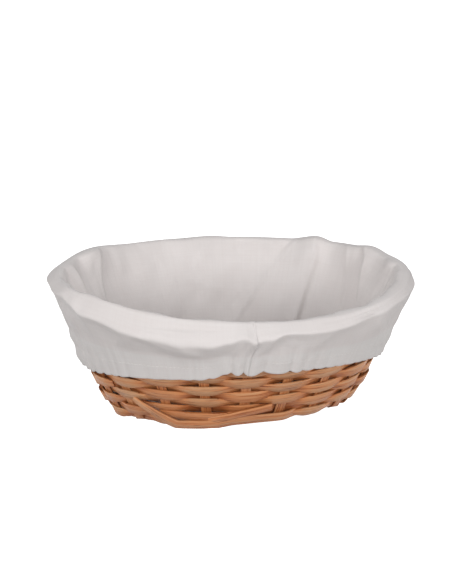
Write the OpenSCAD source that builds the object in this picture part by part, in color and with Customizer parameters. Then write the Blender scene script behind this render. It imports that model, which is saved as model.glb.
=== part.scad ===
// Oval bread basket: a woven wall of split-wood strips on a woven base, a lashed rim,
// and a removable cloth liner that folds over the rim and is held by an elastic hem.
// Millimetres. The origin is the middle of the footprint, +X along the length, +Z up.
//
// The wall is a ruled surface between a base oval and a rim oval. A place on it is
// given by an angle round the oval, a height up the wall and an offset out of the wall.

/* [Wall] */
// Length of the base oval, along the middle of the wall
base_length = 182; // [176:1:188]
// Width of the base oval, along the middle of the wall
base_width = 94; // [90:1:100]
// Length of the rim oval, along the middle of the wall
rim_length = 271; // [262:1:278]
// Width of the rim oval, along the middle of the wall
rim_width = 185; // [178:1:190]
// Mean height of the wooden rim
rim_height = 99; // [99:0.5:104]
// How far the rim rises above its mean height at the ends, and dips below it at the sides
rim_rise = 4; // [0:0.5:5]

/* [Stakes] */
// Width of a stake
stake_width = 7.6; // [6:0.2:7.6]
// Thickness of a stake
stake_thick = 1.2; // [1:0.1:1.2]
// Distances of the crosswise stakes from the middle one
cross_offsets = [26, 52, 74]; // [20:1:78]
// Distance of the outer lengthwise stakes from the middle one
long_offset = 15; // [13:1:17]

/* [Weaving] */
// Width of a weaving strip
weaver_width = 6.3; // [5:0.1:6.3]
// Thickness of a weaving strip
weaver_thick = 1.1; // [0.8:0.1:1.1]
// Height of the lowest row's middle
first_row = 7.6; // [7.6:0.1:8]
// Rise from one row to the next
row_pitch = 6.3; // [6.3:0.05:6.35]

/* [Rim] */
// Thickness of each of the two rim bands
band_thick = 2.5; // [2:0.1:2.5]
// Height of the rim bands
band_height = 10.5; // [9:0.5:10.5]
// Width of the lashing strip
lashing_width = 4.4; // [3:0.2:5]
// Thickness of the lashing strip
lashing_thick = 0.8; // [0.5:0.1:0.8]

/* [Liner] */
// Thickness of the cloth with its seams and gathers
cloth = 1.2; // [0.8:0.1:1.2]
// Height of the elastic hem above the table
hem_height = 40; // [36:1:50]
// Width of the elastic band in the hem
elastic_width = 6; // [4:0.5:6]

/* [Hidden] */
ROWS = 13;
CROSS_STAKES = 7;
LONG_STAKES = 3;

// Colours
wood_tan = "#b98556";
wood_dark = "#a06a3e";
cotton = "#e4e1e0";
elastic_white = "#f4f4f0";

// Clearance kept between strips that lie on each other
gap = 0.2;
// Half of the flat length that a base strip keeps at each crossing
crossing_half = stake_width / 2 + gap;
// Half of the step between the two layers of the base lattice
lattice_step = (stake_thick + 0.3) / 2;
// Radius of the turn where a stake leaves the base and goes up the wall
bend = 4;
// Offset of a weaving strip in front of a stake, and how far a lapped end lies outside it
weave_offset = 1.7;
lap_offset = weaver_thick + 0.25;
// Wall height of the rim bands' lower edge
band_foot = rim_height - band_height;

// Positions of the stakes across the base, in order
cross_x = [for (s = [2:-1:0]) -cross_offsets[s], 0, for (s = [0:2]) cross_offsets[s]];
long_y = [-long_offset, 0, long_offset];

// Angles of the 20 stakes round the wall, from the +X end
quarter = [
    0, asin(2 * long_offset / base_width),
    for (s = [2:-1:0]) acos(2 * cross_offsets[s] / base_length)
];
STAKES = 20;
stake_angles = [for (q = [0:3], s = [0:4])
    q % 2 == 0 ? 90 * q + quarter[s] : (s == 0 ? 90 * q : 90 * (q + 1) - quarter[5 - s])];

// ---- the wall's surface ----
function half_length(h) = (base_length + (rim_length - base_length) * h / rim_height) / 2;
function half_width(h) = (base_width + (rim_width - base_width) * h / rim_height) / 2;
function unit(v) = v / norm(v);
// Direction up the wall and direction along it, at an angle round the oval
function up_wall(t) = unit([
    (rim_length - base_length) / 2 / rim_height * cos(t),
    (rim_width - base_width) / 2 / rim_height * sin(t), 1]);
function along_wall(t, h) = unit([-half_length(h) * sin(t), half_width(h) * cos(t), 0]);
function out_of_wall(t, h) = unit(cross(along_wall(t, h), up_wall(t)));
// How much higher a place is than its wall height: the ends stand up and the sides dip
function rise(t, h) = rim_rise * cos(2 * t) * h / rim_height;
function on_wall(t, h, out) =
    [half_length(h) * cos(t), half_width(h) * sin(t), h + rise(t, h)]
    + out * out_of_wall(t, h);

// Angle of a place that lies a fraction of the way past a stake, counting stakes from 0
function angle_at(stake, fraction) =
    let (
        a = stake_angles[stake % STAKES],
        b = stake % STAKES == STAKES - 1 ? 360 : stake_angles[stake % STAKES + 1]
    ) a + (b - a) * fraction;

// ---- solids from rings of points ----
// Triangles between two neighbouring rings of n points
function band_faces(first, second, n) = [for (k = [0:n - 1]) each [
    [first * n + k, second * n + k, first * n + (k + 1) % n],
    [first * n + (k + 1) % n, second * n + k, second * n + (k + 1) % n]]];

// A closed ring, or a strip with two ends
module loft(rings, closed = false) {
    count = len(rings);
    n = len(rings[0]);
    last = closed ? count - 1 : count - 2;
    sides = [for (i = [0:last]) each band_faces(i, (i + 1) % count, n)];
    ends = closed ? [] : concat(
        [[for (k = [0:n - 1]) k]],
        [[for (k = [n - 1:-1:0]) (count - 1) * n + k]]);
    polyhedron([for (r = rings) each r], concat(sides, ends));
}

// The four corners of a strip's section, from its middle, its direction and its width line
function strip_section(p, along, across, width, thick) =
    let (side = unit(across) * width / 2, face = unit(cross(along, across)) * thick / 2)
    [p - side - face, p + side - face, p + side + face, p - side + face];

// A flat strip along a route of places, each with the direction of its width
module strip(places, widths, width, thick) {
    last = len(places) - 1;
    loft([for (i = [0:last]) strip_section(
        places[i], unit(places[min(i + 1, last)] - places[max(i - 1, 0)]),
        widths[i], width, thick)]);
}

// ---- the base and the stakes ----
// Middle of a base strip at a crossing
function layer_height(upper) = stake_thick / 2 + (upper ? 2 * lattice_step : 0);

// Distances along a base strip at one crossing: flat over the other strip's width
function crossing_run(c) =
    [c - crossing_half, c - crossing_half + 1, c + crossing_half - 1, c + crossing_half];

// Half of a stake's wall, from its turn at the base to its top under the rim bands' top
function wall_route(t, inset) = let (
    foot = on_wall(t, stake_thick / 2, 0),
    up = on_wall(t, stake_thick / 2 + bend, 0)
) concat(
    [for (u = [0:0.25:1]) (1 - u) * (1 - u) * inset + 2 * u * (1 - u) * foot + u * u * up],
    [on_wall(t, rim_height / 2, 0), on_wall(t, rim_height - 1, 0)]);

// A width direction turned part of the way from one line to another, whichever way it points
function turned(from, to, share) =
    unit(from + ((to * from < 0 ? -to : to) - from) * share);

// One stake: up one wall, over and under the strips it meets on the base, up the other
module stake(t_start, t_end, run, crossings, first_upper) {
    start = on_wall(t_start, stake_thick / 2, 0);
    end = on_wall(t_end, stake_thick / 2, 0);
    inset_start = start + bend * run;
    inset_end = end - bend * run;
    side = cross([0, 0, 1], run);
    offset = start - (start * run) * run;
    flat = [for (c = [0:len(crossings) - 1], d = crossing_run(crossings[c]))
        [d * run[0], d * run[1], 0] + [offset[0], offset[1],
            layer_height((c % 2 == 0) == first_upper)]];
    down = wall_route(t_start, inset_start);
    up = wall_route(t_end, inset_end);
    turns = [0, 0.25, 0.5, 0.75, 1, 1, 1];
    heights = [0, 0, 0, 0, 0, rim_height / 2, rim_height];
    width_start = [for (i = [0:6]) turned(side, along_wall(t_start, heights[i]), turns[i])];
    width_end = [for (i = [0:6]) turned(side, along_wall(t_end, heights[i]), turns[i])];
    strip(
        concat([for (i = [6:-1:0]) down[i]], flat, up),
        concat([for (i = [6:-1:0]) width_start[i]], [for (p = flat) side], width_end),
        stake_width, stake_thick);
}

// A crosswise stake, counted from the -X end
module cross_stake(i) {
    t = acos(2 * cross_x[i - 1] / base_length);
    color(wood_dark) stake(-t, t, [0, 1, 0], long_y, i % 2 == 1);
}

// A lengthwise stake, counted from the front
module long_stake(j) {
    t = asin(2 * long_y[j - 1] / base_width);
    color(wood_dark) stake(180 - t, t, [1, 0, 0], cross_x, j % 2 == 0);
}

// ---- the weaving ----
// Fractions of the way from stake to stake at which a weaving strip has a section
weave_steps = [0, 0.18, 0.5, 0.82];

// Side of the wall that a row runs on: 1 in front, -1 behind, changing from stake to stake
function weave_side(row, stake, fraction) =
    ((stake + row) % 2 == 0 ? 1 : -1) * max(-1, min(1, 1.35 * cos(180 * fraction)));

// Stake after which a row's ends lap, so that the laps are spread round and lie in front
function lap_stake(row) = (6 * row + (row + 1) % 2) % STAKES;

// One row: once round, with its end lapped over its start in front of one stake
module weaver(row) {
    h = first_row + (row - 1) * row_pitch;
    turn = len(weave_steps) * STAKES;
    start = len(weave_steps) * lap_stake(row) + 2;
    steps = [for (j = [start:start + turn + len(weave_steps)])
        let (s = floor(j / len(weave_steps)), f = weave_steps[j % len(weave_steps)])
        [angle_at(s, f), weave_offset * weave_side(row, s, f)
            + (j >= start + turn ? lap_offset : 0)]];
    color(wood_tan) strip(
        [for (s = steps) on_wall(s[0], h, s[1])],
        [for (s = steps) up_wall(s[0])],
        weaver_width, weaver_thick);
}

// ---- the rim ----
// A rim band: one strip round the wall on one side of the stakes, its ends butted
module rim_band(side) {
    offset = side * (stake_thick / 2 + 0.3 + band_thick / 2);
    steps = len(weave_steps);
    angles = [for (j = [2:2 + STAKES * steps]) angle_at(floor(j / steps), weave_steps[j % steps])
        + (j == 2 ? 0.3 : j == 2 + STAKES * steps ? -0.3 : 0)];
    color(wood_tan) strip(
        [for (t = angles) on_wall(t, rim_height - band_height / 2, offset)],
        [for (t = angles) up_wall(t)],
        band_height / up_wall(0)[2], band_thick);
}
module rim_outer_band() { rim_band(1); }
module rim_inner_band() { rim_band(-1); }

// Corners of a route cut off at a distance, so that a strip turns them in two steps
function cut_corners(route, cut) = [
    route[0],
    for (i = [1:len(route) - 2]) each [
        route[i] + cut * unit(route[i - 1] - route[i]),
        route[i] + cut * unit(route[i + 1] - route[i])],
    route[len(route) - 1]];

// The lashing: one strip wound round both bands, through the wall twice between stakes
module rim_lashing() {
    reach = stake_thick / 2 + 0.3 + band_thick + 0.35 + lashing_thick / 2;
    low = band_foot - gap - lashing_thick / 2;
    high = rim_height + gap + lashing_thick / 2;
    through = [for (s = [0:STAKES - 1], f = [0.3, 0.7]) angle_at(s, f)];
    last = len(through) - 1;
    corners = [for (i = [0:last - 1]) each [
        [through[i], low, -reach], [through[i], low, reach],
        [through[i], high, reach], [through[i + 1], high, -reach]]];
    end = len(corners) - 1;
    route = cut_corners([for (c = corners) on_wall(c[0], c[1], c[2])], lashing_thick);
    widths = [along_wall(corners[0][0], low),
        for (i = [1:end - 1], side = [0, 1]) along_wall(corners[i][0], corners[i][1]),
        along_wall(corners[end][0], high)];
    color(wood_tan) strip(route, widths, lashing_width, lashing_thick);
}

// ---- the liner ----
// A closed ring whose section is given as [offset out of the wall, wall height],
// running down the outside and up the inside
module wall_ring(section) {
    loft([for (t = [0:5:355]) [for (p = section) on_wall(t, p[1], p[0])]], closed = true);
}

// How far inside the wall's middle the cloth lies, below the rim bands and at them
liner_out = 3;
liner_rim = 5;
// Wall height of the cloth over the rim, and height of the liner's floor over the lattice
liner_top = rim_height + 1.4;
floor_low = 2 * lattice_step + stake_thick + 0.3;

// The oval floor of the liner
module liner_floor() {
    color(cotton) translate([0, 0, floor_low]) linear_extrude(cloth)
        polygon([for (t = [0:5:355])
            [(half_length(0) - liner_out) * cos(t), (half_width(0) - liner_out) * sin(t)]]);
}

// The liner's wall, from the floor up the inside and over the rim's top
module liner_wall() {
    foot = floor_low + cloth;
    shoulder = band_foot - 7;
    ledge = band_foot - 2;
    color(cotton) wall_ring([
        [1, liner_top + cloth], [1, liner_top], [-liner_rim, liner_top],
        [-liner_rim, ledge], [-liner_out, shoulder], [-liner_out, foot],
        [-liner_out - cloth, foot], [-liner_out - cloth, shoulder],
        [-liner_rim - cloth, ledge], [-liner_rim - cloth, liner_top + cloth / 2],
        [-liner_rim - cloth / 2, liner_top + cloth]]);
}

// The liner's cuff, from the rim's top down the outside, with its hem turned up inside
module liner_cuff() {
    fold = 0.8;
    hem_in = 3.9;
    hem_out = hem_in + fold + 1.4;
    hem_top = hem_height + elastic_width / 2 + 1.2;
    hem_foot = hem_height - elastic_width / 2 - 1.2;
    color(cotton) wall_ring([
        [5.2, liner_top + cloth], [7.6, rim_height - 2], [7.6, rim_height - 7],
        [hem_out + fold, hem_top + 1], [hem_out + fold, hem_foot + fold / 2],
        [hem_out + fold / 2, hem_foot], [hem_in + fold / 2, hem_foot],
        [hem_in, hem_foot + fold / 2], [hem_in, hem_top], [hem_in + fold, hem_top],
        [hem_in + fold, hem_foot + fold], [hem_out, hem_foot + fold],
        [hem_out, hem_top + 1], [6.4, rim_height - 7], [6.4, rim_height - 3],
        [4.9, liner_top], [1.1, liner_top], [1.1, liner_top + cloth]]);
}

// The elastic band inside the hem
module hem_elastic() {
    inner = 4.9;
    outer = inner + 1;
    low = hem_height - elastic_width / 2;
    high = hem_height + elastic_width / 2;
    color(elastic_white)
        wall_ring([[inner, high], [outer, high], [outer, low], [inner, low]]);
}

for (i = [1:CROSS_STAKES]) cross_stake(i);
for (i = [1:LONG_STAKES]) long_stake(i);
for (i = [1:ROWS]) weaver(i);
rim_outer_band();
rim_inner_band();
rim_lashing();
liner_floor();
liner_wall();
liner_cuff();
hem_elastic();
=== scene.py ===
# %% [markdown]
# # An oval bread basket with a cloth liner
# The basket is woven from flat strips of split wood: stakes run under the base and up the walls,
# and thirteen rows of weaving go in front of one stake and behind the next. Two bands hold the
# stake tops, with a strip lashed round them. A white cotton liner lines the inside, folds over
# the rim and is held outside by an elastic in its hem.
#
# The hard frame is already settled, so every size below is read from it. This lesson only makes
# the looks: strips that bend, taper and wander as real ones do, cloth with folds and gathers,
# and a material for each.

# %% Load the frame
import math

import bpy
import numpy as np
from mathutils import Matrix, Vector


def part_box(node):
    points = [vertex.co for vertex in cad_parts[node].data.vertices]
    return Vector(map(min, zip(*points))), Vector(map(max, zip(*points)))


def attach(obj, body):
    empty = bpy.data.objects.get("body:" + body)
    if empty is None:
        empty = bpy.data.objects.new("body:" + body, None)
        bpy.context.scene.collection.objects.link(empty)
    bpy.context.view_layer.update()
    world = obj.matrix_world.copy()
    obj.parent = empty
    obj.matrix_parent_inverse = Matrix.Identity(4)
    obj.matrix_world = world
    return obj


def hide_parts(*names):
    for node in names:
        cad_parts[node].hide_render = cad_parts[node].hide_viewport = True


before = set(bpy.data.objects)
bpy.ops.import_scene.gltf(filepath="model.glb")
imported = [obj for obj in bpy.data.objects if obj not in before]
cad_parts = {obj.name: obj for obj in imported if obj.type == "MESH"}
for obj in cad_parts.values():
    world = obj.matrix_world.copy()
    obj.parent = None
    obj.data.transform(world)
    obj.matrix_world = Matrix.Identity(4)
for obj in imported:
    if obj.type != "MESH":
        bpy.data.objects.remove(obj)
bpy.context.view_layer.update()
scene = bpy.context.scene
MM = 0.001

# %% [markdown]
# ## The wall as a surface
# Nearly every piece lies on the wall, in front of it or behind it. So the wall is written once, as
# a surface between a base oval and a rim oval, and everything else is given by an angle round the
# oval, a height up the wall and an offset out of it. The rim is a little higher at the two ends
# than at the sides, which the height includes.

# %% The wall's sizes, from the frame
STAKE_THICK = 1.2 * MM
end_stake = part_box("long_stake_2")
side_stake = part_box("cross_stake_4")
floor_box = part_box("liner_floor")
LINER_INSET = 3 * MM
top_x = end_stake[1][0] - STAKE_THICK / 2
top_y = side_stake[1][1] - STAKE_THICK / 2
base_x = floor_box[1][0] + LINER_INSET
base_y = floor_box[1][1] + LINER_INSET
TOP = (end_stake[1][2] + side_stake[1][2]) / 2
RISE = (end_stake[1][2] - side_stake[1][2]) / 2
FLOOR = floor_box[0][2]
print(f"base {2e3 * base_x:.0f} x {2e3 * base_y:.0f} mm, rim {2e3 * top_x:.0f} x {2e3 * top_y:.0f} mm")


# %% Places on the wall
def unit(v):
    """Vectors scaled to length one, along the last axis."""
    return v / np.maximum(np.linalg.norm(v, axis=-1, keepdims=True), 1e-12)


def wall_axes(angle, height):
    """Directions along the wall, up it and out of it, at angles in radians and heights in metres."""
    angle, height = np.broadcast_arrays(np.asarray(angle, float), np.asarray(height, float))
    half_x = base_x + (top_x - base_x) * height / TOP
    half_y = base_y + (top_y - base_y) * height / TOP
    zero = np.zeros_like(angle)
    along = unit(np.stack([-half_x * np.sin(angle), half_y * np.cos(angle), zero], -1))
    up = unit(np.stack([(top_x - base_x) / TOP * np.cos(angle),
                        (top_y - base_y) / TOP * np.sin(angle), zero + 1], -1))
    return along, up, unit(np.cross(along, up))


def rise(angle):
    """How much of its height the wall gains at an angle: the ends stand up, the left one more."""
    return (RISE * np.cos(2 * angle) - 2.2 * MM * np.cos(angle) + 1.2 * MM * np.sin(angle)) / TOP


def bulge(angle, height):
    """How far the wall bulges outwards: most low down, and more at the ends than at the sides."""
    most = (2.4 + 1.6 * np.cos(angle) ** 2 - 0.5 * np.cos(angle)) * MM
    return most * np.sin(np.pi * np.sqrt(np.clip(height / TOP, 0, 1)))


def on_wall(angle, height, out=0.0):
    """Places on the wall, moved out of it by an offset."""
    angle, height, out = np.broadcast_arrays(
        np.asarray(angle, float), np.asarray(height, float), np.asarray(out, float))
    half_x = base_x + (top_x - base_x) * height / TOP
    half_y = base_y + (top_y - base_y) * height / TOP
    lift = rise(angle) * height
    middle = np.stack([half_x * np.cos(angle), half_y * np.sin(angle), height + lift], -1)
    return middle + (out + bulge(angle, height))[..., None] * wall_axes(angle, height)[2]


# %% [markdown]
# The stakes' angles come from the frame too: a stake keeps its line across the base and up both
# walls, so its angle follows from where that line meets the base oval. The four quarters of the
# wall mirror each other.

# %% The stakes' angles
def quarter_angles():
    """Angles of the stakes from the +X end up to the last one before the middle of the back."""
    half = (end_stake[1][1] - end_stake[0][1]) / 2
    end = math.asin((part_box("long_stake_3")[0][1] + half) / base_y)
    sides = [math.acos((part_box(f"cross_stake_{i}")[0][0] + half) / base_x) for i in (7, 6, 5)]
    return [0.0, end, *sides]


quarter = quarter_angles()
full_turn = 2 * math.pi
stake_angles = np.array(
    quarter + [math.pi / 2] + [math.pi - a for a in quarter[:0:-1]]
    + [math.pi + a for a in quarter] + [1.5 * math.pi] + [full_turn - a for a in quarter[:0:-1]])
STAKES = len(stake_angles)
print(STAKES, "stakes at", [round(math.degrees(a)) for a in stake_angles])


def angle_at(step):
    """Angles of places counted in stakes: 3.5 is midway between stakes 3 and 4."""
    step = np.asarray(step, float)
    turns = np.floor(step / STAKES)
    return np.interp(step - turns * STAKES, np.arange(STAKES + 1),
                     np.append(stake_angles, full_turn)) + turns * full_turn


def smooth(x, low, high):
    """A soft step from 0 at low to 1 at high."""
    x = np.clip((np.asarray(x, float) - low) / (high - low), 0, 1)
    return x * x * (3 - 2 * x)


def wander(step, seed, waves=4):
    """A smooth closed curve of about -1 to 1 round the wall, the same on every run."""
    random = np.random.default_rng(seed)
    turn = full_turn * np.asarray(step, float) / STAKES
    total = sum(random.normal() / (k + 1) * np.cos((k + 1) * turn + random.uniform(0, full_turn))
                for k in range(waves))
    return total / 1.5


def keyed(angle, keys):
    """Values between given keys of degrees and value round the wall, eased from key to key."""
    degrees = np.degrees(angle) % 360
    places = np.array([k[0] for k in keys], float)
    values = np.array([k[1] for k in keys], float)
    places = np.append(places, places[0] + 360)
    values = np.append(values, values[0])
    degrees = np.where(degrees < places[0], degrees + 360, degrees)
    k = np.clip(np.searchsorted(places, degrees, side="right") - 1, 0, len(keys) - 1)
    share = smooth((degrees - places[k]) / (places[k + 1] - places[k]), 0, 1)
    return values[k] * (1 - share) + values[k + 1] * share


def softened(values, rounds):
    """Values along the first axis, each moved towards its neighbours' mean; the ends stay."""
    for _ in range(rounds):
        values[1:-1] = values[1:-1] * 0.5 + (values[:-2] + values[2:]) * 0.25
    return values


# %% [markdown]
# ## Camera, floor and lights
# The camera has a long lens and stands well back, a little to the left of the front, looking about
# 22 degrees down. Its lens is shifted so that the basket stands below the middle of the frame. The
# floor that the camera sees glows plain white and shows no shadow. A second floor, hidden just
# under it, sends a weaker light back up, so that the cuff's underside stays in soft shade, as over
# a table. The lights are large, which keeps the basket's own shadows soft.

# %% Camera
LENS = 194.1
DISTANCE = 2.458
down_angle = math.radians(22.05)
side_angle = math.radians(8.9)
basket_middle = np.array([0, 0, 50 * MM])
towards_camera = np.array([
    -math.cos(down_angle) * math.sin(side_angle),
    -math.cos(down_angle) * math.cos(side_angle), math.sin(down_angle)])


def look_along(thing, direction):
    """Turns a camera or a light so that it looks along a direction, with its top up."""
    thing.rotation_euler = Vector(direction).to_track_quat("-Z", "Y").to_euler()


camera_data = bpy.data.cameras.new("camera")
camera = bpy.data.objects.new("camera", camera_data)
scene.collection.objects.link(camera)
scene.camera = camera
camera_data.lens = LENS
camera.location = basket_middle + DISTANCE * towards_camera
look_along(camera, basket_middle - np.array(camera.location))
camera_data.shift_x, camera_data.shift_y = -0.0108, 0.0837
print(f"camera {camera_data.lens:.0f} mm, {DISTANCE} m away")


# %% Lights
def soft_light(name, place, size, power):
    """A large square area light that points at the basket."""
    data = bpy.data.lights.new(name, "AREA")
    data.size = size
    data.energy = power
    light = bpy.data.objects.new(name, data)
    scene.collection.objects.link(light)
    light.location = place
    look_along(light, basket_middle - np.array(place))


soft_light("light_above", (-0.9, -0.4, 1.35), size=0.9, power=3.1)
soft_light("light_left", (-1.4, -1.4, 0.85), size=1.0, power=23)
soft_light("light_right", (1.2, -1.6, 0.75), size=1.0, power=25)
world = bpy.data.worlds.new("studio")
scene.world = world
world.use_nodes = True
world.node_tree.nodes["Background"].inputs["Color"].default_value = (1, 1, 1, 1)
world.node_tree.nodes["Background"].inputs["Strength"].default_value = 0.30
scene.view_settings.view_transform = "Standard"


# %% Floor
FLOOR_HALF = 6.0


def floor_plane(name, height, grey, glow):
    """A wide plain floor, part of the studio and not of the basket."""
    corners = [(-1, -1), (1, -1), (1, 1), (-1, 1)]
    mesh = bpy.data.meshes.new(name)
    mesh.from_pydata([(FLOOR_HALF * x, FLOOR_HALF * y, height) for x, y in corners],
                     [], [(0, 1, 2, 3)])
    paper = bpy.data.materials.new(name)
    paper.use_nodes = True
    shader = paper.node_tree.nodes["Principled BSDF"]
    shader.inputs["Base Color"].default_value = (grey, grey, grey, 1)
    shader.inputs["Roughness"].default_value = 0.9
    shader.inputs["Specular IOR Level"].default_value = 0.0
    shader.inputs["Emission Color"].default_value = (1, 1, 1, 1)
    shader.inputs["Emission Strength"].default_value = glow
    mesh.materials.append(paper)
    plane = bpy.data.objects.new(name, mesh)
    scene.collection.objects.link(plane)
    return plane


seen = floor_plane("floor", height=0.0, grey=0.9, glow=1.0)
seen.visible_diffuse = False
bounce = floor_plane("bounce", height=-0.4 * MM, grey=0.95, glow=0.0)
bounce.visible_camera = False
print("floor planes:", seen.name, "and", bounce.name)

# %% [markdown]
# ## Building node trees
# Materials and Geometry Nodes are both trees of nodes, so one small class builds both. Its node
# method takes a node's type, its settings and what goes into its sockets. What it returns can be
# used in sums: an expression such as 1 - mask adds its own Math nodes.


# %% A board of nodes
class Socket:
    """A node's output that can be used in sums."""

    def __init__(self, board, socket):
        self.board, self.socket = board, socket

    def _math(self, operation, first, second=0.0):
        return self.board.node(self.board.math, {"operation": operation}, {0: first, 1: second})

    def __add__(self, other):
        return self._math("ADD", self, other)

    def __sub__(self, other):
        return self._math("SUBTRACT", self, other)

    def __rsub__(self, other):
        return self._math("SUBTRACT", other, self)

    def __mul__(self, other):
        return self._math("MULTIPLY", self, other)

    def __rmul__(self, other):
        return self._math("MULTIPLY", other, self)

    def __truediv__(self, other):
        return self._math("DIVIDE", self, other)

    def absolute(self):
        return self._math("ABSOLUTE", self)

    def sign(self):
        return self._math("SIGN", self)

    def sine(self):
        return self._math("SINE", self)


class Board:
    """A node tree under construction."""

    math = "ShaderNodeMath"

    def __init__(self, tree):
        self.tree = tree

    def node(self, kind, settings=None, sockets=None, output=0):
        """Adds a node, makes its settings, fills its sockets, and returns one of its outputs."""
        made = self.tree.nodes.new(kind)
        for key, value in (settings or {}).items():
            if key == "stops":
                ramp = made.color_ramp.elements
                while len(ramp) < len(value):
                    ramp.new(1.0)
                for stop, (place, colour) in zip(ramp, value):
                    stop.position, stop.color = place, (*colour, 1)
            else:
                setattr(made, key, value)
        for key, value in (sockets or {}).items():
            target = made.inputs[key]
            if isinstance(value, Socket):
                self.tree.links.new(value.socket, target)
            else:
                target.default_value = value
        return Socket(self, made.outputs[output])

    def split(self, vector):
        """The three numbers of a vector."""
        first = self.node("ShaderNodeSeparateXYZ", {}, {0: vector})
        outputs = first.socket.node.outputs
        return [Socket(self, outputs[k]) for k in range(3)]

    def join(self, x, y, z):
        """A vector from three numbers."""
        return self.node("ShaderNodeCombineXYZ", {}, {0: x, 1: y, 2: z})

    def vector(self, operation, first, second=(0, 0, 0)):
        """Vector maths; the second may be a number for SCALE."""
        key = "Scale" if operation == "SCALE" else 1
        return self.node("ShaderNodeVectorMath", {"operation": operation}, {0: first, key: second})


def material_board(name, roughness, sheen=0.0, specular=0.5):
    """A material with its board and its Principled shader."""
    material = bpy.data.materials.new(name)
    material.use_nodes = True
    shader = material.node_tree.nodes["Principled BSDF"]
    shader.inputs["Roughness"].default_value = roughness
    shader.inputs["Sheen Weight"].default_value = sheen
    shader.inputs["Specular IOR Level"].default_value = specular
    return material, Board(material.node_tree), shader


def feed(board, shader, name, value):
    """Links a socket to one of the shader's inputs."""
    board.tree.links.new(value.socket, shader.inputs[name])


# %% [markdown]
# ## Split wood
# The strips are willow split along its fibres and stained a honey brown. Every strip has its own
# tone, fine fibres run along it, and here and there a small knot shows. Its edges are darker, a
# painted shade for the seams between strips, and a weaver is darker still where it goes behind a
# stake, which is painted shade too. The pattern reads an attribute that each strip's mesh carries:
# how far along the strip a place is, how far across, and the strip's own number. So the grain
# follows the strip wherever it bends, which a pattern in space could not do.


# %% The wood materials
def wood_material(name, tones, dark):
    """Split wood from a deep to a light tone, with dark fibres and knots, and painted shade on its
    edges.
    """
    material, board, shader = material_board(name, 0.5, specular=0.3)
    place = board.node("ShaderNodeAttribute", {"attribute_name": "grain"}, output=1)
    run, across, tone = board.split(place)
    # Each strip's own tone, with painted shade where a weaver goes behind a stake
    shade = board.node("ShaderNodeAttribute", {"attribute_name": "shade"}, output=2)
    edge = board.node("ShaderNodeAttribute", {"attribute_name": "edge"}, output=2)

    def noise(along_scale, across_scale, offset, detail):
        where = board.join(run * along_scale, across * across_scale, tone * offset)
        return board.node("ShaderNodeTexNoise", {}, {"Vector": where, "Scale": 1.0, "Detail": detail})

    fibres = noise(along_scale=40, across_scale=1300, offset=17, detail=3.0)
    streaks = noise(along_scale=13, across_scale=500, offset=31, detail=2.0)
    patches = noise(along_scale=14, across_scale=50, offset=53, detail=1.0)
    knots = board.node("ShaderNodeTexVoronoi", {}, {
        "Vector": board.join(run * 30, across * 110, tone * 71), "Scale": 1.0})
    knot = board.node("ShaderNodeMapRange", {}, {0: knots, 1: 0.05, 2: 0.15, 3: 1.0, 4: 0.0})
    # Grain and tone, with the painted shade carried by the shade attribute, set the place on the ramp
    grain_and_painted_shade = 1.5 * streaks + 0.6 * fibres + 0.4 * patches + 0.55 * shade - 0.93
    stops = list(zip((0.1, 0.42, 0.72, 1.0), tones))
    body = board.node("ShaderNodeValToRGB", {"stops": stops}, {0: grain_and_painted_shade})
    fibre_mask = board.node("ShaderNodeMapRange", {}, {0: fibres, 1: 0.30, 2: 0.43, 3: 0.65, 4: 0.0})
    # Darker edges: painted shade for the seams between strips
    edge_mask = board.node("ShaderNodeMapRange", {}, {0: edge, 1: 0.86, 2: 1.0, 3: 0.0, 4: 0.75})
    mask = board.node("ShaderNodeMath", {"operation": "MAXIMUM", "use_clamp": True}, {
        0: fibre_mask + edge_mask, 1: knot * 0.6})
    colour = board.node("ShaderNodeMix", {"data_type": "RGBA"}, {
        0: mask, 6: body, 7: (*dark, 1)}, output=2)
    feed(board, shader, "Base Color", colour)
    bump = board.node("ShaderNodeBump", {}, {
        "Strength": 0.9, "Distance": 0.3 * MM, "Height": fibres * 0.5 + streaks * 0.6})
    feed(board, shader, "Normal", bump)
    feed(board, shader, "Roughness", 0.60 - 0.2 * streaks)
    return material


stake_wood = wood_material("stake_wood", tones=[
    (0.33, 0.095, 0.025), (0.65, 0.235, 0.075), (0.82, 0.345, 0.13), (0.90, 0.45, 0.20)],
    dark=(0.14, 0.030, 0.005))
weaver_wood = wood_material("weaver_wood", tones=[
    (0.40, 0.125, 0.035), (0.82, 0.325, 0.113), (0.95, 0.45, 0.19), (0.99, 0.60, 0.31)],
    dark=(0.18, 0.042, 0.008))
print("wood materials:", stake_wood.name, weaver_wood.name)

# %% [markdown]
# ## A strip from a route
# A strip of split wood is a flat bar with softened edges, swept along a route. Curves in Blender
# twist as they like, but a woven strip must lie flat on the wall, so the route carries the
# direction of the strip's width with it. A Geometry Nodes tree sweeps a round profile along the
# route and then places every point itself: out along the width and the thickness, with a small
# round at each edge. It also leaves the attributes that the wood material reads.


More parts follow.
